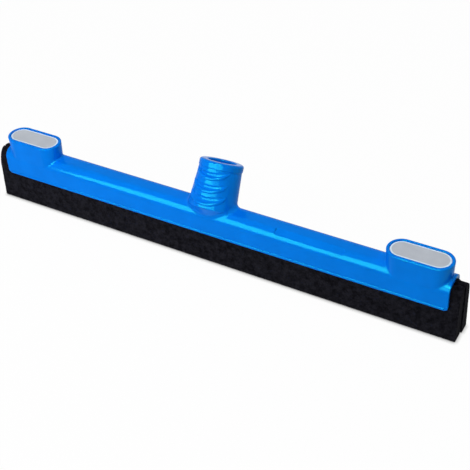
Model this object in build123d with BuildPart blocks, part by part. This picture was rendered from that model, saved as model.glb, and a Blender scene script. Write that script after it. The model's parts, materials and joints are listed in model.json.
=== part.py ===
from build123d import *
import os
from math import cos, radians, sin, tan

# Floor squeegee head: an arched plastic frame with a leaning handle socket and two oval towers,
# a pair of cellular rubber strips with a barbed keeper between them, and a plate in each tower.
# Millimetres. X runs along the blade, Y to the back and Z up. The origin is the middle of the
# rubber's bottom edge, where the tool meets the floor.

# Driving dimensions
blade_length = 450.0
frame_length = 430.5
frame_width = 23.3
frame_bottom = 29.4
frame_top = 53.6
shoulder = 8.5
wall = 2.3
roof = 3.0
lip_bead = 0.45
lip_height = 2.0
end_round = 3.0

tower_spacing = 373.2
tower_length = 52.6
tower_width = 22.8
tower_base = 43.0
tower_top = 67.8
tower_draft = 2.6
tower_blend = 1.6
tower_wall = 3.0
rim_width = 2.6
rim_round = 1.0
inlay_recess = 2.4
inlay_thickness = 1.9
inlay_floor = 2.4
inlay_gap = 0.15
inlay_bevel = 0.5
peg_spacing = 26.0
peg_size = 5.0
peg_length = 5.0

socket_lean = 32.0
mouth_y = 22.2
mouth_z = 83.95
collar_radius = 19.0
collar_height = 5.8
collar_step = 0.5
collar_round = 2.0
socket_flare = 4.2
socket_length = 64.0
socket_low = 36.0
socket_underside = 35.0
socket_blend = 4.5
foot_front = 10.3
foot_height = 48.0
foot_radius = 25.0
foot_flare = 24.7
foot_round = 1.0
bore_radius = 12.1
bore_depth = 34.0
bore_lead_in = 0.8

grip_count = 3
grip_pitch = 10.3
grip_first = 11.3
grip_half = 2.3
grip_depth = 1.3
grip_turn = 21.8
grip_sweep = 68.0

pad_start = 64.5
pad_end = 126.0
pad_tilt = 26.0
pad_half_angle = 22.0

ridge_heights = (33.5, 38.0)
ridge_size = 0.7
play = 0.3

strip_splay = 2.5
strip_slit = 1.5
strip_stagger = 0.9
strip_shift = -0.9
bulge = 0.8
bulge_drop = 2.8

keeper_length = 428.0
keeper_bottom = 26.0
keeper_head_width = 6.0
keeper_head = 1.6
barb_heights = (32.0, 37.0, 42.0)
barb_size = 0.8

# Worked-out dimensions
half_width = frame_width / 2
tunnel_half = half_width - wall
tunnel_top = frame_top - roof
tunnel_shoulder = shoulder - wall
strip_half = tunnel_half - play
strip_top = tunnel_top - play
strip_shoulder = tunnel_shoulder - play
rim_growth = (tower_top - tower_base) * tan(radians(tower_draft))
recess_length = tower_length + 2 * (rim_growth - rim_width)
recess_width = tower_width + 2 * (rim_growth - rim_width)
recess_floor = tower_top - inlay_recess
collar_foot = collar_height + collar_step
body_radius = collar_radius - collar_step
grip_scoop = (grip_half**2 + grip_depth**2) / (2 * grip_depth)
foot_middle = foot_radius - foot_front
foot_low = foot_radius + (socket_low - foot_height) * tan(radians(foot_flare))
foot_high = foot_radius + (mouth_z - foot_height) * tan(radians(foot_flare))
pad_height = shoulder * cos(radians(pad_half_angle))
pad_width = 2 * shoulder * sin(radians(pad_half_angle))

# Directions of the socket: up along its axis, and across it to the front
lean = radians(socket_lean)
mouth = Vector(0, mouth_y, mouth_z)
up = Vector(0, sin(lean), cos(lean))
front = Vector(0, -cos(lean), sin(lean))
socket_side = Plane(origin=mouth, x_dir=-front, z_dir=up.cross(front))

# The socket's underside rises from the channel's back wall
rise = radians(socket_underside)
back_cut = Plane(origin=(0, half_width, socket_low), x_dir=(1, 0, 0), z_dir=(0, -sin(rise), cos(rise)))

os.makedirs("parts", exist_ok=True)


def arch(half, bottom, top, radius):
    """A round-shouldered arch that stands on the line y = bottom."""
    side = half - radius
    spring = top - radius
    with BuildSketch() as profile:
        with BuildLine():
            Polyline((-half, spring), (-half, bottom), (half, bottom), (half, spring))
            CenterArc((side, spring), radius, 0, 90)
            Line((side, top), (-side, top))
            CenterArc((-side, spring), radius, 90, 90)
        make_face()
    return profile.sketch


def tooth(face, height, size):
    """A saw tooth on the line x = face: flat on top, with its point towards x = 0."""
    point = face - size if face > 0 else face + size
    with BuildSketch() as profile:
        with BuildLine():
            Polyline((face, height), (point, height), (face, height - 2 * size), close=True)
        make_face()
    return profile.sketch


def keeper_section():
    """The bar between the strips: a stem with a T head and upward barbs that hold the rubber."""
    reach = strip_slit / 2 + barb_size
    with BuildSketch() as profile:
        with Locations((0, keeper_bottom)):
            Rectangle(strip_slit, strip_top - keeper_bottom, align=(Align.CENTER, Align.MIN))
        with Locations((0, strip_top)):
            Rectangle(keeper_head_width, keeper_head, align=(Align.CENTER, Align.MAX))
        for height in barb_heights:
            with BuildLine():
                Polyline((-reach, height), (reach, height), (0, height - 2 * reach), close=True)
            make_face()
    return profile.sketch


def low_seams(builder, lowest, nearest, farthest):
    """Edges between the channel and what stands on it, by height and by distance from the middle."""
    found = []
    for edge in builder.edges():
        box = edge.bounding_box()
        near = 0 if box.min.X * box.max.X < 0 else min(abs(box.min.X), abs(box.max.X))
        far = max(abs(box.min.X), abs(box.max.X))
        if box.min.Z > lowest and box.max.Z < frame_top + 0.5 and near >= nearest and far < farthest:
            found.append(edge)
    return found


# Handle socket, before it is joined to the frame: a turned blank with a collar. Below the grips its
# front narrows like a funnel, down to the channel's front shoulder
with BuildPart() as socket:
    with BuildSketch(socket_side):
        with BuildLine():
            Polyline((0, -socket_length), (0, 0), (collar_radius - collar_round, 0))
            CenterArc((collar_radius - collar_round, -collar_round), collar_round, 0, 90)
            Polyline(
                (collar_radius, -collar_round),
                (collar_radius, -collar_height),
                (body_radius, -collar_foot),
                (body_radius + socket_flare, -socket_length),
                (0, -socket_length),
            )
        make_face()
    revolve(axis=Axis(mouth, up))
    split(bisect_by=Plane(origin=(0, 0, socket_low)), keep=Keep.TOP)
    split(bisect_by=back_cut, keep=Keep.TOP)
    with BuildSketch(Plane(origin=(0, foot_middle, 0), x_dir=(-1, 0, 0), z_dir=(0, 1, 0))):
        with BuildLine():
            Polyline(
                (foot_low, socket_low),
                (foot_high, mouth_z),
                (2 * foot_high, mouth_z),
                (2 * foot_high, socket_low),
                close=True,
            )
        make_face()
    revolve(axis=Axis((0, foot_middle, 0), (0, 0, 1)), revolution_arc=180, mode=Mode.SUBTRACT)
    foot_face = socket.faces().filter_by(GeomType.CONE).sort_by(Axis.Y)[0]
    fillet(foot_face.edges().sort_by(Axis.Z)[-1:], radius=foot_round)

# Frame
with BuildPart() as frame:
    # Arched channel, socket and towers, blended together
    with BuildSketch(Plane.YZ.offset(-frame_length / 2)):
        add(arch(half_width, frame_bottom, frame_top, shoulder))
    extrude(amount=frame_length)
    fillet(frame.edges().filter_by(Axis.Y).group_by(Axis.Z)[0], radius=end_round)
    add(socket.part)
    with BuildSketch(Plane.XY.offset(tower_base)):
        with GridLocations(tower_spacing, 0, 2, 1):
            SlotOverall(tower_length, tower_width)
    extrude(amount=tower_top - tower_base, taper=-tower_draft)
    fillet(low_seams(frame, frame_bottom + 1, 0, 60), radius=socket_blend)
    fillet(low_seams(frame, tower_base + 2, 150, frame_length / 2 - 0.2), radius=tower_blend)

    # Finger grips: level scoops round the front of the leaning socket, which run out at its sides
    for index in range(grip_count):
        below = grip_first + index * grip_pitch
        radius = body_radius + socket_flare * (below - collar_foot) / (socket_length - collar_foot)
        middle = mouth - up * below + front * (radius - grip_depth + grip_scoop)
        pivot = middle + Vector(0, grip_turn, 0)
        first = Vector(0, -1, 0).rotate(Axis.Z, -grip_sweep)
        with BuildSketch(Plane(origin=pivot, x_dir=first, z_dir=first.cross(Vector(0, 0, 1)))):
            with Locations((grip_turn, 0)):
                Circle(grip_scoop)
        revolve(axis=Axis(pivot, (0, 0, 1)), revolution_arc=2 * grip_sweep, mode=Mode.SUBTRACT)

    # Blind bore for the handle, with a lead-in
    with BuildSketch(socket_side):
        with BuildLine():
            Polyline(
                (0, -bore_depth),
                (0, 0),
                (bore_radius + bore_lead_in, 0),
                (bore_radius, -bore_lead_in),
                (bore_radius, -bore_depth),
                close=True,
            )
        make_face()
    revolve(axis=Axis(mouth, up), mode=Mode.SUBTRACT)

    # Bare flat on the front shoulder
    pad_normal = Vector(0, -sin(radians(pad_tilt)), cos(radians(pad_tilt)))
    pad_middle = Vector((pad_start + pad_end) / 2, shoulder - half_width, frame_top - shoulder)
    pad_plane = Plane(origin=pad_middle + pad_normal * pad_height, x_dir=(1, 0, 0), z_dir=pad_normal)
    with BuildSketch(pad_plane) as pad:
        Rectangle(pad_end - pad_start, pad_width + 1)
        fillet(pad.vertices().group_by(Axis.X)[0], radius=pad_width / 2)
    extrude(amount=2, mode=Mode.SUBTRACT)

    # Tower tops: a rounded rim, a recess for the plate and holes for its pegs
    fillet(frame.faces().filter_by(Plane.XY).group_by(Axis.Z)[-1].edges(), radius=rim_round)
    with BuildSketch(Plane.XY.offset(recess_floor)):
        with GridLocations(tower_spacing, 0, 2, 1):
            SlotOverall(recess_length, recess_width)
    extrude(amount=inlay_recess, mode=Mode.SUBTRACT)
    with BuildSketch(Plane.XY.offset(recess_floor)):
        with GridLocations(tower_spacing, 0, 2, 1):
            with GridLocations(peg_spacing, 0, 2, 1):
                Rectangle(peg_size + 2 * inlay_gap, peg_size + 2 * inlay_gap)
    extrude(amount=-2 * inlay_floor, mode=Mode.SUBTRACT)

    # Hollow towers, the channel for the rubber with ridges that grip it, and a bead on each lip
    with BuildSketch(Plane.XY.offset(recess_floor - inlay_floor)):
        with GridLocations(tower_spacing, 0, 2, 1):
            SlotOverall(tower_length - 2 * tower_wall, tower_width - 2 * tower_wall)
    extrude(amount=tower_base - recess_floor + inlay_floor, mode=Mode.SUBTRACT)
    with BuildSketch(Plane.YZ.offset(-frame_length / 2)):
        add(arch(tunnel_half, frame_bottom, tunnel_top, tunnel_shoulder))
        for height in ridge_heights:
            add(tooth(tunnel_half, height, ridge_size), mode=Mode.SUBTRACT)
            add(tooth(-tunnel_half, height, ridge_size), mode=Mode.SUBTRACT)
    extrude(amount=frame_length, mode=Mode.SUBTRACT)
    with BuildSketch(Plane.YZ.offset(end_round - frame_length / 2)):
        with Locations((-half_width, frame_bottom), (half_width, frame_bottom)):
            RectangleRounded(2 * lip_bead, lip_height, lip_bead * 0.9, align=(Align.CENTER, Align.MIN))
    extrude(amount=frame_length - 2 * end_round)

frame.part.label = "frame"
export_step(frame.part, "parts/frame.step")

# Rubber strips: mirror images, one a little further along than the other
for name, side in (("front_blade", -1), ("rear_blade", 1)):
    with BuildPart() as blade:
        with BuildSketch(Plane.YZ.offset(strip_shift + (side * strip_stagger - blade_length) / 2)):
            with BuildLine():
                Polyline(
                    (side * (strip_half - strip_shoulder), strip_top),
                    (side * strip_slit / 2, strip_top),
                    (side * strip_slit / 2, 0),
                    (side * (strip_half + strip_splay), 0),
                    (side * (strip_half + bulge), frame_bottom - bulge_drop),
                    (side * strip_half, frame_bottom - play),
                    (side * strip_half, strip_top - strip_shoulder),
                )
                CenterArc(
                    (side * (strip_half - strip_shoulder), strip_top - strip_shoulder),
                    strip_shoulder,
                    90 - 90 * side,
                    90 * side if side > 0 else -90,
                )
            make_face()
            add(keeper_section(), mode=Mode.SUBTRACT)
            for height in ridge_heights:
                add(tooth(side * tunnel_half, height + play, ridge_size + 2 * play), mode=Mode.SUBTRACT)
        extrude(amount=blade_length)
    blade.part.label = name
    export_step(blade.part, f"parts/{name}.step")

# Keeper bar between the strips
with BuildPart() as keeper:
    with BuildSketch(Plane.YZ.offset(-keeper_length / 2)):
        add(keeper_section())
    extrude(amount=keeper_length)

keeper.part.label = "blade_keeper"
export_step(keeper.part, "parts/blade_keeper.step")

# Plates in the tower tops, each on two pegs
for name, side in (("left_inlay", -1), ("right_inlay", 1)):
    with BuildPart() as inlay:
        with BuildSketch(Plane.XY.offset(recess_floor)):
            with Locations((side * tower_spacing / 2, 0)):
                SlotOverall(recess_length - 2 * inlay_gap, recess_width - 2 * inlay_gap)
        extrude(amount=inlay_thickness)
        chamfer(inlay.faces().sort_by(Axis.Z)[-1].edges(), length=inlay_bevel)
        with BuildSketch(Plane.XY.offset(recess_floor)):
            with Locations((side * tower_spacing / 2, 0)):
                with GridLocations(peg_spacing, 0, 2, 1):
                    Rectangle(peg_size, peg_size)
        extrude(amount=-peg_length)
    inlay.part.label = name
    export_step(inlay.part, f"parts/{name}.step")
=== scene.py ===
import json
from math import cos, pi, radians, sin, sqrt

import bmesh
import bpy
import numpy as np
from mathutils import Matrix, Vector, geometry, noise
from mathutils.bvhtree import BVHTree


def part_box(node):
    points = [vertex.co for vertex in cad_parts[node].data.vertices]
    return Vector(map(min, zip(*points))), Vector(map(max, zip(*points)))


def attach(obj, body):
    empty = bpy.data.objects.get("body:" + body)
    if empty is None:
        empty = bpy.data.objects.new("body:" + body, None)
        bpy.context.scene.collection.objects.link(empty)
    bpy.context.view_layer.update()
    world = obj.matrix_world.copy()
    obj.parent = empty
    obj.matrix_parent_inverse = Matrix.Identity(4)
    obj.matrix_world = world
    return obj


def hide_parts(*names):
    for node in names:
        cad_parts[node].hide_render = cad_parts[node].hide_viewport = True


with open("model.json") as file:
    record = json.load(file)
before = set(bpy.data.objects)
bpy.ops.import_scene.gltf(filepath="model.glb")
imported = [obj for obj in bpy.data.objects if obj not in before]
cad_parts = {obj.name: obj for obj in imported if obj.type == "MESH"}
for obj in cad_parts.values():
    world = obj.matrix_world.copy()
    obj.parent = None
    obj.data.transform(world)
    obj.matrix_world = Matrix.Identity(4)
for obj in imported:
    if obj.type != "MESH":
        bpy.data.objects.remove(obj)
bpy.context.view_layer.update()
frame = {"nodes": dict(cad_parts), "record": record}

# Lengths are in metres and angles in radians, but the camera's lens and sensor are in millimetres

# Camera: where it stands, which way it looks, how far it is tilted, and what it takes in
CAMERA_PLACE = Vector((0.384736, -0.578495, 0.573183))
CAMERA_AZIMUTH = 0.560583
CAMERA_ELEVATION = 0.673613
CAMERA_ROLL = -0.066889
CAMERA_LENS = 78.732
CAMERA_SENSOR = 36.0
CAMERA_NEAR = 0.01
CAMERA_FAR = 50.0

# Foam strips: mesh step, rounding of the long edges and of the ends, and the angle of a sharp edge
FOAM_STEP = 0.0009
EDGE_ROUND = 0.0002
END_ROUND = 0.6 * EDGE_ROUND
FOAM_CREASE = radians(50)

# Cells of the foam: how wide they are, how deep they are sunk into the skin and into the cut faces,
# the slow wave under them, and the height up to which the bottom edge is a cut face
CELL_SIZE = 0.0021
SKIN_PIT = 0.00008
CUT_PIT = 0.00020
WAVE_SIZE = 0.030
WAVE_DEPTH = 0.00010
CUT_HEIGHT = 0.0012

# Net of points on a cut end: seed of its shake, the shake in steps, and how far it stays from the edge
NET_SEED = 7
NET_SHAKE = 0.25
NET_MARGIN = 0.5 * FOAM_STEP

# Free ends of the strips, where the frame no longer shapes them: how far past the frame they begin, in
# what length they take their own shape, half the slit between the two, the neck where the rounding
# starts, and for each strip its top and how square its shoulder is
FREE_START = 0.0004
FREE_LENGTH = 0.0030
FREE_SLIT = 0.0001
NECK_HALF = 0.0097
NECK_HEIGHT = 0.0290
FREE_TOP = {"front_blade": 0.0494, "rear_blade": 0.0498}
FREE_SQUARE = {"front_blade": 2.1, "rear_blade": 3.4}
SHOULDER_POINTS = 90

# Rims of the finger grips: height of the first one, drop to the next, how far each one reaches round
# the socket, how its ends curl up, how thick it is, how deep it sits in the wall, how it thins out, the
# steps of its mesh, and a distance from the socket's axis that is outside the wall
RIM_COUNT = 3
RIM_HEIGHT = 0.0813
RIM_DROP = 0.0087
RIM_TURN = radians(50)
RIM_CURL = 0.0028
RIM_CURL_POWER = 3
RIM_RADIUS = 0.0018
RIM_SUNK = 0.0009
RIM_THIN_POWER = 4
RIM_TIP = 0.1
RIM_STEPS = 48
RIM_SIDES = 24
SOCKET_REACH = 0.05

# Moulded skin: the range of values that most of a noise is in, the same for its fine grain, how strong
# the grain is beside the orange peel, and how far sharp edges are softened in the shading
TONE_RANGE = (0.3, 0.7)
GRAIN_RANGE = (0.4, 0.6)
GRAIN_HEIGHT = 0.35
EDGE_SOFT = 0.0009
EDGE_SAMPLES = 6

# Hair scratches: turn and stretch of their two noises, the values in these that make a scratch, and
# how much it dulls the surface
SCRATCH_WAYS = (
    ((0.2, 0.5, 0.3), (60, 1500, 1500)),
    ((0.1, -0.4, 1.2), (1500, 90, 1500)),
)
SCRATCH_RANGE = (0.66, 0.74)
SCRATCH_DULL = 0.25

# Plates: how wide the highlight painted along their edge is, and how soft its inner line is as a share of
# that
PAINTED_HIGHLIGHT_WIDTH = 0.0015
PAINTED_HIGHLIGHT_BLUR = 0.3

# Foam rubber: place and colour of its two tones in the cloud, the painted shade in its pores, and how
# strong the fine grain is beside the cells
FOAM_TONES = [(0.36, (0.0012, 0.0012, 0.0026)), (0.64, (0.0125, 0.0123, 0.0175))]
FOAM_PORE_SHADE = [(0.0, (0.45, 0.45, 0.45)), (0.5, (1, 1, 1))]
FOAM_GRAIN = 0.4

# Floor: its size, how far it lies below the object, its colour, the share of it that is white to the
# camera, and how far the soft shadow beside the object reaches
FLOOR_SIZE = 8.0
FLOOR_DROP = 0.0005
FLOOR_COLOUR = (0.8, 0.8, 0.8, 1)
FLOOR_WHITE = 0.97
CONTACT_REACH = 0.0035
CONTACT_SAMPLES = 12

# World: its colour, and its strength as a light on the object
WHITE = (1, 1, 1, 1)
WORLD_LIGHT = 0.18

# Lamps: name, place, target, width and height, power in watts, and whether it is a card, which only
# shows as a reflection. The others light the object and don't show in its gloss.
LAMPS = (
    ("front softbox", (-0.30, -0.70, 0.40), (-0.30, 0, 0.40), (0.64, 0.78), 5.1, False),
    ("front card", (-0.30, -0.68, 0.40), (-0.30, 0, 0.40), (0.64, 0.78), 12.0, True),
    ("right card", (0.29, -0.68, 0.30), (0.29, 0, 0.30), (0.54, 0.42), 4.0, True),
    ("high card", (0.20, -0.55, 0.78), (0, 0, 0.07), (0.50, 0.50), 9.0, True),
    ("top panel", (0.15, -0.05, 1.2), (0, 0, 0.05), (0.8, 0.8), 8.0, False),
    ("back panel", (-0.8, 0.8, 1.0), (0, 0, 0.05), (1.2, 1.2), 1.5, False),
)

# Tolerances: distance at which two places count as one, smallest divisor, and merging in the net
SAME_PLACE = 1e-5
TINY = 1e-9
NET_MERGE = 1e-7


def make_camera():
    """The camera at the photograph's viewing angle."""
    look = Vector((
        -sin(CAMERA_AZIMUTH) * cos(CAMERA_ELEVATION),
        cos(CAMERA_AZIMUTH) * cos(CAMERA_ELEVATION),
        -sin(CAMERA_ELEVATION),
    ))
    level = look.cross(Vector((0, 0, 1))).normalized()
    upright = level.cross(look)
    right = level * cos(CAMERA_ROLL) + upright * sin(CAMERA_ROLL)
    top = upright * cos(CAMERA_ROLL) - level * sin(CAMERA_ROLL)
    data = bpy.data.cameras.new("camera")
    data.lens = CAMERA_LENS
    data.sensor_width = CAMERA_SENSOR
    data.clip_start = CAMERA_NEAR
    data.clip_end = CAMERA_FAR
    camera = bpy.data.objects.new("camera", data)
    turn = Matrix((right, top, -look)).transposed()
    camera.matrix_world = Matrix.Translation(CAMERA_PLACE) @ turn.to_4x4()
    bpy.context.scene.collection.objects.link(camera)
    bpy.context.scene.camera = camera


def add_node(tree, kind, settings=None, **inputs):
    """A node with these settings and input values. An underscore in an input's name is a space."""
    node = tree.nodes.new(kind)
    for key, value in (settings or {}).items():
        setattr(node, key, value)
    for key, value in inputs.items():
        node.inputs[key.replace("_", " ")].default_value = value
    return node


def add_math(tree, operation, *values, clamp=False):
    """The result of a math node that works on these sockets and numbers."""
    node = add_node(tree, "ShaderNodeMath", {"operation": operation, "use_clamp": clamp})
    for entry, value in zip(node.inputs, values):
        if isinstance(value, bpy.types.NodeSocket):
            tree.links.new(value, entry)
        else:
            entry.default_value = value
    return node.outputs[0]


def new_material(name):
    """A material with an empty node tree."""
    material = bpy.data.materials.new(name)
    material.use_nodes = True
    tree = material.node_tree
    tree.nodes.clear()
    return material, tree


def new_group(name, inputs, outputs):
    """A node group with these number sockets: inputs as (name, value), outputs as names."""
    group = bpy.data.node_groups.new(name, "ShaderNodeTree")
    for label, value in inputs:
        socket = group.interface.new_socket(label, in_out="INPUT", socket_type="NodeSocketFloat")
        socket.default_value = value
    for label in outputs:
        group.interface.new_socket(label, in_out="OUTPUT", socket_type="NodeSocketFloat")
    return group, group.nodes.new("NodeGroupInput"), group.nodes.new("NodeGroupOutput")


def use_group(tree, group, **inputs):
    """The group placed in a material, with its own values."""
    return add_node(tree, "ShaderNodeGroup", {"node_tree": group}, **inputs)


def ramp(tree, stops):
    """A colour ramp with these (place, colour) stops."""
    node = tree.nodes.new("ShaderNodeValToRGB")
    for element, (place, colour) in zip(node.color_ramp.elements, stops):
        element.position = place
        element.color = (*colour, 1)
    return node


def make_mould_skin():
    """Skin of a moulded plastic: slow cloudy tone, fine grain, and hair scratches."""
    group, given, result = new_group(
        "mould skin",
        [("Cloud Scale", 30.0), ("Grain Scale", 900.0), ("Scratch Share", 0.3)],
        ["Tone", "Grain", "Scratch", "Height"],
    )
    link = group.links.new
    place = group.nodes.new("ShaderNodeTexCoord")
    cloud = add_node(group, "ShaderNodeTexNoise", Detail=3.0, Roughness=0.55)
    grain = add_node(group, "ShaderNodeTexNoise", Detail=2.0, Roughness=0.6)
    link(place.outputs["Object"], cloud.inputs["Vector"])
    link(place.outputs["Object"], grain.inputs["Vector"])
    link(given.outputs["Cloud Scale"], cloud.inputs["Scale"])
    link(given.outputs["Grain Scale"], grain.inputs["Scale"])

    # Hair scratches are thin lines in two stretched noises
    lines = []
    for turn, stretch in SCRATCH_WAYS:
        mapping = add_node(group, "ShaderNodeMapping", Rotation=turn, Scale=stretch)
        streak = add_node(group, "ShaderNodeTexNoise", Scale=1.0, Detail=1.0)
        line = add_node(
            group, "ShaderNodeMapRange", From_Min=SCRATCH_RANGE[0], From_Max=SCRATCH_RANGE[1],
        )
        link(place.outputs["Object"], mapping.inputs["Vector"])
        link(mapping.outputs["Vector"], streak.inputs["Vector"])
        link(streak.outputs["Fac"], line.inputs["Value"])
        lines.append(line.outputs["Result"])
    either = add_math(group, "MAXIMUM", *lines)
    scratch = add_math(group, "MULTIPLY", either, given.outputs["Scratch Share"])

    # Height: orange peel from the cloud, fine grain on top, scratches cut in
    peel = add_math(group, "MULTIPLY_ADD", grain.outputs["Fac"], GRAIN_HEIGHT, cloud.outputs["Fac"])
    height = add_math(group, "SUBTRACT", peel, scratch)

    link(cloud.outputs["Fac"], result.inputs["Tone"])
    link(grain.outputs["Fac"], result.inputs["Grain"])
    link(scratch, result.inputs["Scratch"])
    link(height, result.inputs["Height"])
    return group


def make_plate_painted_highlight():
    """Where a highlight is painted along the edge of the two round-ended plates, as a mask from their
    outline.
    """
    low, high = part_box("right_inlay")
    radius = (high.y - low.y) / 2
    group, _, result = new_group("plate painted highlight", [], ["Edge"])
    link = group.links.new
    place = group.nodes.new("ShaderNodeTexCoord")
    split = group.nodes.new("ShaderNodeSeparateXYZ")
    link(place.outputs["Object"], split.inputs[0])

    # Along X, distance from the middle of either plate and then from the straight part of its outline
    either = add_math(group, "ABSOLUTE", split.outputs["X"])
    offset = add_math(group, "SUBTRACT", either, (low.x + high.x) / 2)
    away = add_math(group, "ABSOLUTE", offset)
    beyond = add_math(group, "SUBTRACT", away, (high.x - low.x) / 2 - radius)
    rounded = add_math(group, "MAXIMUM", beyond, 0)

    join = group.nodes.new("ShaderNodeCombineXYZ")
    link(rounded, join.inputs["X"])
    link(split.outputs["Y"], join.inputs["Y"])
    reach = add_node(group, "ShaderNodeVectorMath", {"operation": "LENGTH"})
    link(join.outputs[0], reach.inputs[0])
    edge = add_node(
        group, "ShaderNodeMapRange",
        From_Min=radius - (1 + PAINTED_HIGHLIGHT_BLUR) * PAINTED_HIGHLIGHT_WIDTH, From_Max=radius - (1 - PAINTED_HIGHLIGHT_BLUR) * PAINTED_HIGHLIGHT_WIDTH,
    )
    link(reach.outputs["Value"], edge.inputs["Value"])
    link(edge.outputs["Result"], result.inputs["Edge"])
    return group


def make_plastic(
    name, skin, skin_values, colours, grain_share, roughness, bump, shader_values=None, edge_highlight=None,
):
    """A moulded plastic. Colour and roughness run between two values each with the skin group, which also
    gives the bump, as (strength, depth). The last argument, if given, is a mask group and the colour of a
    highlight painted into the base colour where it is 1."""
    material, tree = new_material(name)
    link = tree.links.new
    out = tree.nodes.new("ShaderNodeOutputMaterial")
    body = tree.nodes.new("ShaderNodeBsdfPrincipled")
    for key, value in (shader_values or {}).items():
        body.inputs[key].default_value = value
    surface = use_group(tree, skin, **skin_values)

    mixed = add_math(tree, "MULTIPLY_ADD", surface.outputs["Grain"], grain_share, surface.outputs["Tone"])
    spread = add_node(
        tree, "ShaderNodeMapRange",
        From_Min=TONE_RANGE[0] + GRAIN_RANGE[0] * grain_share,
        From_Max=TONE_RANGE[1] + GRAIN_RANGE[1] * grain_share,
    )
    link(mixed, spread.inputs["Value"])
    tone = ramp(tree, [(0.0, colours[0]), (1.0, colours[1])])
    link(spread.outputs["Result"], tone.inputs["Fac"])
    colour = tone.outputs["Color"]
    # Painted highlight: the mask mixes a pale cyan line into the base colour along the plate's edge
    if edge_highlight:
        mask, highlight_colour = edge_highlight
        highlighted = add_node(tree, "ShaderNodeMix", {"data_type": "RGBA"})
        highlighted.inputs["B"].default_value = (*highlight_colour, 1)
        link(use_group(tree, mask).outputs["Edge"], highlighted.inputs["Factor"])
        link(colour, highlighted.inputs["A"])
        colour = highlighted.outputs["Result"]
    link(colour, body.inputs["Base Color"])

    dull = add_node(tree, "ShaderNodeMapRange", To_Min=roughness[0], To_Max=roughness[1])
    link(surface.outputs["Tone"], dull.inputs["Value"])
    worn = add_math(
        tree, "MULTIPLY_ADD", surface.outputs["Scratch"], SCRATCH_DULL, dull.outputs["Result"], clamp=True,
    )
    link(worn, body.inputs["Roughness"])

    edge = add_node(tree, "ShaderNodeBevel", {"samples": EDGE_SAMPLES}, Radius=EDGE_SOFT)
    relief = add_node(tree, "ShaderNodeBump", Strength=bump[0], Distance=bump[1])
    link(edge.outputs["Normal"], relief.inputs["Normal"])
    link(surface.outputs["Height"], relief.inputs["Height"])
    link(relief.outputs["Normal"], body.inputs["Normal"])
    link(body.outputs["BSDF"], out.inputs["Surface"])
    return material


def make_foam_rubber():
    """Black cellular rubber: dull, cloudy, with fine cells that get painted shade, darker in their sunk
    middles.
    """
    material, tree = new_material("black cellular rubber")
    link = tree.links.new
    out = tree.nodes.new("ShaderNodeOutputMaterial")
    body = add_node(
        tree, "ShaderNodeBsdfPrincipled",
        Specular_IOR_Level=0.015, Sheen_Weight=0.008, Sheen_Roughness=0.6,
    )
    place = tree.nodes.new("ShaderNodeTexCoord")
    cells = add_node(tree, "ShaderNodeTexVoronoi", Scale=1100.0, Randomness=1.0)
    cloud = add_node(tree, "ShaderNodeTexNoise", Scale=240.0, Detail=4.0, Roughness=0.7)
    fine = add_node(tree, "ShaderNodeTexNoise", Scale=2600.0, Detail=2.0)
    for texture in (cells, cloud, fine):
        link(place.outputs["Object"], texture.inputs["Vector"])

    tone = ramp(tree, FOAM_TONES)
    link(cloud.outputs["Fac"], tone.inputs["Fac"])
    # Painted shade: each cell is darker towards its middle, where the bump sinks it
    pore_shade = ramp(tree, FOAM_PORE_SHADE)
    link(cells.outputs["Distance"], pore_shade.inputs["Fac"])
    shade = add_node(tree, "ShaderNodeMix", {"data_type": "RGBA", "blend_type": "MULTIPLY"}, Factor=0.8)
    link(tone.outputs["Color"], shade.inputs["A"])
    link(pore_shade.outputs["Color"], shade.inputs["B"])
    link(shade.outputs["Result"], body.inputs["Base Color"])

    dull = add_node(tree, "ShaderNodeMapRange", To_Min=0.72, To_Max=0.95)
    link(cloud.outputs["Fac"], dull.inputs["Value"])
    link(dull.outputs["Result"], body.inputs["Roughness"])
    height = add_math(tree, "MULTIPLY_ADD", fine.outputs["Fac"], FOAM_GRAIN, cells.outputs["Distance"])
    relief = add_node(tree, "ShaderNodeBump", Strength=0.5, Distance=0.0003)
    link(height, relief.inputs["Height"])
    link(relief.outputs["Normal"], body.inputs["Normal"])
    link(body.outputs["BSDF"], out.inputs["Surface"])
    return material


def paint(piece, material):
    """Gives the piece this one material."""
    piece.data.materials.clear()
    piece.data.materials.append(material)


def turn_outward(mesh):
    """Turns all faces of a closed mesh to the outside."""
    work = bmesh.new()
    work.from_mesh(mesh)
    bmesh.ops.recalc_face_normals(work, faces=work.faces)
    work.to_mesh(mesh)
    work.free()


def new_piece(name, vertices, faces, material):
    """A smooth piece with these points and faces."""
    mesh = bpy.data.meshes.new(name)
    mesh.from_pydata(vertices, [], faces)
    mesh.validate()
    turn_outward(mesh)
    mesh.shade_smooth()
    piece = bpy.data.objects.new(name, mesh)
    bpy.context.scene.collection.objects.link(piece)
    paint(piece, material)
    return piece


def tube_faces(rings, sides):
    """Faces of a tube whose points come ring after ring."""
    faces = []
    for ring in range(rings - 1):
        for side in range(sides):
            here = ring * sides + side
            beside = ring * sides + (side + 1) % sides
            faces.append((here, beside, beside + sides, here + sides))
    return faces


def end_outline(mesh, x):
    """Corners (y, z) of the flat end of a strip at x, in order round its edge."""
    at_end = [face.vertices[:] for face in mesh.polygons
              if all(abs(mesh.vertices[k].co.x - x) < SAME_PLACE for k in face.vertices)]
    steps = {(a, b) for face in at_end for a, b in zip(face, face[1:] + face[:1])}
    following = {a: b for a, b in steps if (b, a) not in steps}
    start = min(following)
    order = [start]
    while following[order[-1]] != start:
        order.append(following[order[-1]])
    return [mesh.vertices[k].co.yz for k in order]


def nearest(points, place):
    """Which of the points is nearest to the place."""
    return min(range(len(points)), key=lambda k: (points[k] - Vector(place)).length)


def stepped(corners):
    """The closed outline cut into short steps."""
    points = []
    for a, b in zip(corners, corners[1:] + corners[:1]):
        count = max(1, round((b - a).length / FOAM_STEP))
        points += [a.lerp(b, k / count) for k in range(count)]
    return points


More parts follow.
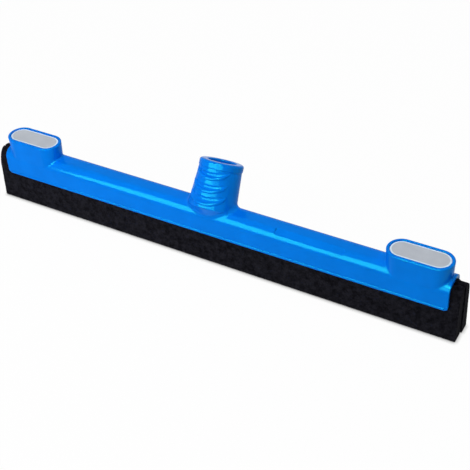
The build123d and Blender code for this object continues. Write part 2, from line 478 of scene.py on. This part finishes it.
def softened(points):
    """The closed outline with its corners pulled in a little."""
    pull = (np.roll(points, 1, 0) + np.roll(points, -1, 0)) / 2 - points
    length = np.maximum(np.hypot(*pull.T), TINY)
    return points + pull * np.minimum(1, EDGE_ROUND / length)[:, None]


def reach_along(path):
    """Length of the path from its start to each of its points."""
    return np.r_[0, np.cumsum(np.hypot(*np.diff(path, axis=0).T))]


def at_shares(path, shares):
    """Points on a path of (y, z) corners, at these shares of its length."""
    path = np.array(path)
    reach = reach_along(path)
    return np.column_stack([np.interp(shares * reach[-1], reach, path[:, k]) for k in (0, 1)])


def strip_outlines(node, corners):
    """The strip's outline where the frame holds it and at its free ends, point by point."""
    side = -1 if corners[0].x < 0 else 1
    inner = min(abs(p.x) for p in corners)
    outer = max(abs(p.x) for p in corners)
    low = min(p.y for p in corners)
    slit = max(p.y for p in corners if abs(abs(p.x) - inner) < SAME_PLACE)
    marks = [(inner, slit), (inner, low), (outer, low), (NECK_HALF, NECK_HEIGHT)]
    marks = [(side * y, z) for y, z in marks]
    held = stepped(corners)
    first = nearest(held, marks[0])
    held = held[first:] + held[:first]
    if nearest(held, marks[1]) > nearest(held, marks[3]):
        held = held[:1] + held[:0:-1]
    knots = [nearest(held, place) for place in marks] + [len(held)]
    held = np.array(held)

    # Beyond the frame the strip is a plain block with a rounded shoulder
    rise = FREE_TOP[node] - NECK_HEIGHT
    power = 2 / FREE_SQUARE[node]
    shoulder = [(NECK_HALF * cos(turn) ** power, NECK_HEIGHT + rise * sin(turn) ** power)
                for turn in np.linspace(0, pi / 2, SHOULDER_POINTS)]
    shoulder = [(side * y, z) for y, z in shoulder if y > FREE_SLIT]
    peak = (side * FREE_SLIT, shoulder[-1][1])
    paths = [[peak, marks[1]], marks[1:3], [marks[2], shoulder[0]], shoulder + [peak]]
    free = []
    for start, stop, path in zip(knots, knots[1:], paths):
        reach = reach_along(np.r_[held, held[:1]][start:stop + 1])
        free.append(at_shares(path, reach[:-1] / reach[-1]))
    return softened(held), softened(np.concatenate(free))


def pit(point, depth):
    """How far the surface is sunk at this point: one shallow bowl per cell, and a slow wave."""
    near = noise.voronoi(point / CELL_SIZE)[0]
    bowl = 1 - min(1, near[0] / max(near[1], TINY)) ** 2
    wave = 0.5 + 0.5 * noise.noise(point / WAVE_SIZE)
    return depth * bowl + WAVE_DEPTH * wave


def strip_points(stations, held, free, cut_top):
    """Points of a strip's long sides: its outline at each station along X, with sunk cells."""
    frame_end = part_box("frame")[1].x
    area = np.sum(held[:, 0] * np.roll(held[:, 1], -1) - held[:, 1] * np.roll(held[:, 0], -1))
    outward = 1 if area > 0 else -1
    points = []
    for x in stations:
        at_end = x in (stations[0], stations[-1])
        share = min(1, max(0, (abs(x) - frame_end - FREE_START) / FREE_LENGTH))
        ease = share * share * (3 - 2 * share)
        outline = held + (free - held) * ease
        along = np.roll(outline, -1, 0) - np.roll(outline, 1, 0)
        along /= np.maximum(np.hypot(*along.T), TINY)[:, None]
        normals = np.column_stack([along[:, 1], -along[:, 0]]) * outward
        for (y, z), (out_y, out_z) in zip(outline.tolist(), normals.tolist()):
            cut = at_end or z < cut_top
            sunk = pit(Vector((x, y, z)), CUT_PIT if cut else SKIN_PIT)
            inset = sunk + (END_ROUND if at_end else 0)
            points.append((x, y - out_y * inset, z - out_z * inset))
    return points


def within(point, rim):
    """True when the point is inside the closed outline."""
    inside = False
    for a, b in zip(rim, rim[1:] + rim[:1]):
        crosses = (a.y > point.y) != (b.y > point.y)
        if crosses and point.x < a.x + (b.x - a.x) * (point.y - a.y) / (b.y - a.y):
            inside = not inside
    return inside


def end_net(low, high, rim, rng):
    """Points inside the outline of a cut end: an even net, shaken a little."""
    spots = []
    for y in np.arange(low.y, high.y, FOAM_STEP):
        for z in np.arange(low.z, high.z, FOAM_STEP):
            spots.append(Vector((y, z)) + Vector(rng.uniform(-NET_SHAKE, NET_SHAKE, 2) * FOAM_STEP))
    return [p for p in spots if within(p, rim) and min((p - q).length for q in rim) > NET_MARGIN]


def end_faces(vertices, first, rim, net, x, inward):
    """Faces of a cut end at x, whose outline starts at the point first. Its net's points, sunk like
    the rest, are added to the vertices."""
    ring = list(range(len(rim)))
    flat, _, cells, origin, _, _ = geometry.delaunay_2d_cdt(rim + net, [], [ring], 1, NET_MERGE)
    index = []
    for point, source in zip(flat, origin):
        if source and source[0] < len(rim):
            index.append(first + source[0])
            continue
        index.append(len(vertices))
        spot = Vector((x, point.x, point.y))
        vertices.append((spot.x + inward * pit(spot, CUT_PIT), point.x, point.y))
    return [[index[k] for k in cell] for cell in cells]


def make_strip(name, node, material):
    """A foam strip in the place of its solid: its outline drawn along X, with sunk cells."""
    low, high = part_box(node)
    held, free = strip_outlines(node, end_outline(frame["nodes"][node].data, low.x))
    count = len(held)
    runs = round((high.x - low.x) / FOAM_STEP)
    stations = [low.x + (high.x - low.x) * k / runs for k in range(runs + 1)]
    vertices = strip_points(stations, held, free, low.z + CUT_HEIGHT)
    faces = tube_faces(runs + 1, count)

    # The two cut ends are filled with an even net of points
    rng = np.random.default_rng(NET_SEED)
    for station, inward in ((0, 1), (runs, -1)):
        first = station * count
        rim = [Vector(vertices[first + k][1:]) for k in range(count)]
        net = end_net(low, high, rim, rng)
        faces += end_faces(vertices, first, rim, net, stations[station], inward)

    strip = new_piece(name, vertices, faces, material)
    strip.data.set_sharp_from_angle(angle=FOAM_CREASE)
    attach(strip, "blade_set")
    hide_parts(node)


def rim_spine(skin, base, axis, height):
    """Points along a grip's lower edge: (place on the wall, way out of it, share from -1 to 1)."""
    spine = []
    for share in np.linspace(-1, 1, RIM_STEPS + 1).tolist():
        z = height + RIM_CURL * (1 - sqrt(1 - abs(share) ** RIM_CURL_POWER))
        middle = base + axis * ((z - base.z) / axis.z)
        outward = Vector((sin(RIM_TURN * share), -cos(RIM_TURN * share), 0))
        spot = skin.ray_cast(middle + outward * SOCKET_REACH, -outward)[0]
        spine.append((spot, outward, share))
    return spine


def make_grip_rim(name, spine, material):
    """A round bead half sunk in the socket's wall, which thins out towards its two ends."""
    vertices = []
    for k, (spot, outward, share) in enumerate(spine):
        along = spine[min(k + 1, RIM_STEPS)][0] - spine[max(k - 1, 0)][0]
        across = along.cross(outward).normalized()
        out = across.cross(along).normalized()
        radius = RIM_RADIUS * max(RIM_TIP, sqrt(1 - abs(share) ** RIM_THIN_POWER))
        centre = spot - out * RIM_SUNK * radius / RIM_RADIUS
        for side in range(RIM_SIDES):
            turn = 2 * pi * side / RIM_SIDES
            vertices.append(centre + (out * cos(turn) + across * sin(turn)) * radius)
    faces = tube_faces(RIM_STEPS + 1, RIM_SIDES)
    for first in (0, RIM_STEPS * RIM_SIDES):
        faces.append(range(first, first + RIM_SIDES))
    rim = new_piece(name, vertices, faces, material)
    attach(rim, "frame_body")


def make_grip_rims(material):
    """The rims of the finger grips, one below the other on the front of the socket."""
    mount = next(m for m in frame["record"]["mounts"] if m["name"] == "handle_socket")
    base, axis = Vector(mount["pos_m"]), Vector(mount["axis"])
    skin = BVHTree.FromObject(frame["nodes"]["frame"], bpy.context.evaluated_depsgraph_get())
    for k in range(RIM_COUNT):
        spine = rim_spine(skin, base, axis, RIM_HEIGHT - k * RIM_DROP)
        make_grip_rim(f"grip_rim_{k + 1}", spine, material)


def seen_mask(tree):
    """1 where the camera, a reflection or a see-through surface looks at the surface itself."""
    path = tree.nodes.new("ShaderNodeLightPath")
    seen = add_math(tree, "MAXIMUM", path.outputs["Is Camera Ray"], path.outputs["Is Glossy Ray"])
    return add_math(tree, "MAXIMUM", seen, path.outputs["Is Transmission Ray"])


def make_floor():
    """A pale floor that is white to the camera, apart from the object's shadow."""
    bpy.ops.mesh.primitive_plane_add(size=FLOOR_SIZE, location=(0, 0, -FLOOR_DROP))
    floor = bpy.context.object
    floor.name = "floor"
    material, tree = new_material("pale floor")
    link = tree.links.new
    out = tree.nodes.new("ShaderNodeOutputMaterial")
    matt = add_node(tree, "ShaderNodeBsdfDiffuse", Color=FLOOR_COLOUR)
    glow = add_node(tree, "ShaderNodeEmission", Strength=1.0)
    contact = add_node(
        tree, "ShaderNodeAmbientOcclusion", {"samples": CONTACT_SAMPLES}, Distance=CONTACT_REACH,
    )
    link(contact.outputs["Color"], glow.inputs["Color"])
    mix = tree.nodes.new("ShaderNodeMixShader")
    link(add_math(tree, "MULTIPLY", seen_mask(tree), FLOOR_WHITE), mix.inputs["Fac"])
    link(matt.outputs[0], mix.inputs[1])
    link(glow.outputs[0], mix.inputs[2])
    link(mix.outputs[0], out.inputs["Surface"])
    paint(floor, material)


def make_world():
    """A white world that lights the object only a little."""
    world = bpy.data.worlds.new("studio")
    world.use_nodes = True
    bpy.context.scene.world = world
    tree = world.node_tree
    tree.nodes.clear()
    link = tree.links.new
    out = tree.nodes.new("ShaderNodeOutputWorld")
    dim = add_node(tree, "ShaderNodeBackground", Color=WHITE, Strength=WORLD_LIGHT)
    white = add_node(tree, "ShaderNodeBackground", Color=WHITE, Strength=1.0)
    mix = tree.nodes.new("ShaderNodeMixShader")
    link(seen_mask(tree), mix.inputs["Fac"])
    link(dim.outputs[0], mix.inputs[1])
    link(white.outputs[0], mix.inputs[2])
    link(mix.outputs[0], out.inputs["Surface"])


def make_lamp(name, place, target, size, power, card):
    """A flat lamp that faces its target."""
    data = bpy.data.lights.new(name, "AREA")
    data.shape = "RECTANGLE"
    data.size, data.size_y = size
    data.energy = power
    lamp = bpy.data.objects.new(name, data)
    lamp.visible_glossy = card
    lamp.visible_diffuse = not card
    lamp.location = place
    lamp.rotation_mode = "QUATERNION"
    lamp.rotation_quaternion = (Vector(target) - Vector(place)).to_track_quat("-Z", "Y")
    bpy.context.scene.collection.objects.link(lamp)


# Stage
make_camera()
make_floor()
make_world()
for lamp_values in LAMPS:
    make_lamp(*lamp_values)

# Finishes
mould_skin = make_mould_skin()
blue_plastic = make_plastic(
    "moulded blue plastic", mould_skin,
    skin_values={"Cloud_Scale": 45.0, "Grain_Scale": 1400.0, "Scratch_Share": 0.25},
    colours=((0.0, 0.148, 0.73), (0.0, 0.172, 0.81)),
    grain_share=0.25,
    roughness=(0.07, 0.13),
    bump=(0.10, 0.00012),
    shader_values={"Specular IOR Level": 0.02, "Specular Tint": (0.8, 24.5, 17.0, 1)},
)
grey_plate = make_plastic(
    "satin grey plate", mould_skin,
    skin_values={"Cloud_Scale": 60.0, "Grain_Scale": 2200.0, "Scratch_Share": 0.4},
    colours=((0.41, 0.445, 0.50), (0.50, 0.535, 0.59)),
    grain_share=0.8,
    roughness=(0.36, 0.5),
    bump=(0.35, 0.00010),
    # A pale cyan highlight is painted along the edge of each plate
    edge_highlight=(make_plate_painted_highlight(), (0.72, 0.88, 0.98)),
)
keeper_plastic = make_plastic(
    "dark keeper plastic", mould_skin,
    skin_values={"Cloud_Scale": 40.0, "Grain_Scale": 1500.0, "Scratch_Share": 0.3},
    colours=((0.014, 0.014, 0.016), (0.024, 0.024, 0.027)),
    grain_share=0.5,
    roughness=(0.45, 0.62),
    bump=(0.3, 0.00012),
)
foam_rubber = make_foam_rubber()

# Pieces
for node_name, finish in (
    ("frame", blue_plastic),
    ("blade_keeper", keeper_plastic),
    ("left_inlay", grey_plate),
    ("right_inlay", grey_plate),
):
    paint(frame["nodes"][node_name], finish)
make_grip_rims(blue_plastic)
make_strip("front_foam_strip", "front_blade", foam_rubber)
make_strip("rear_foam_strip", "rear_blade", foam_rubber)

bpy.context.scene.view_settings.view_transform = "Standard"
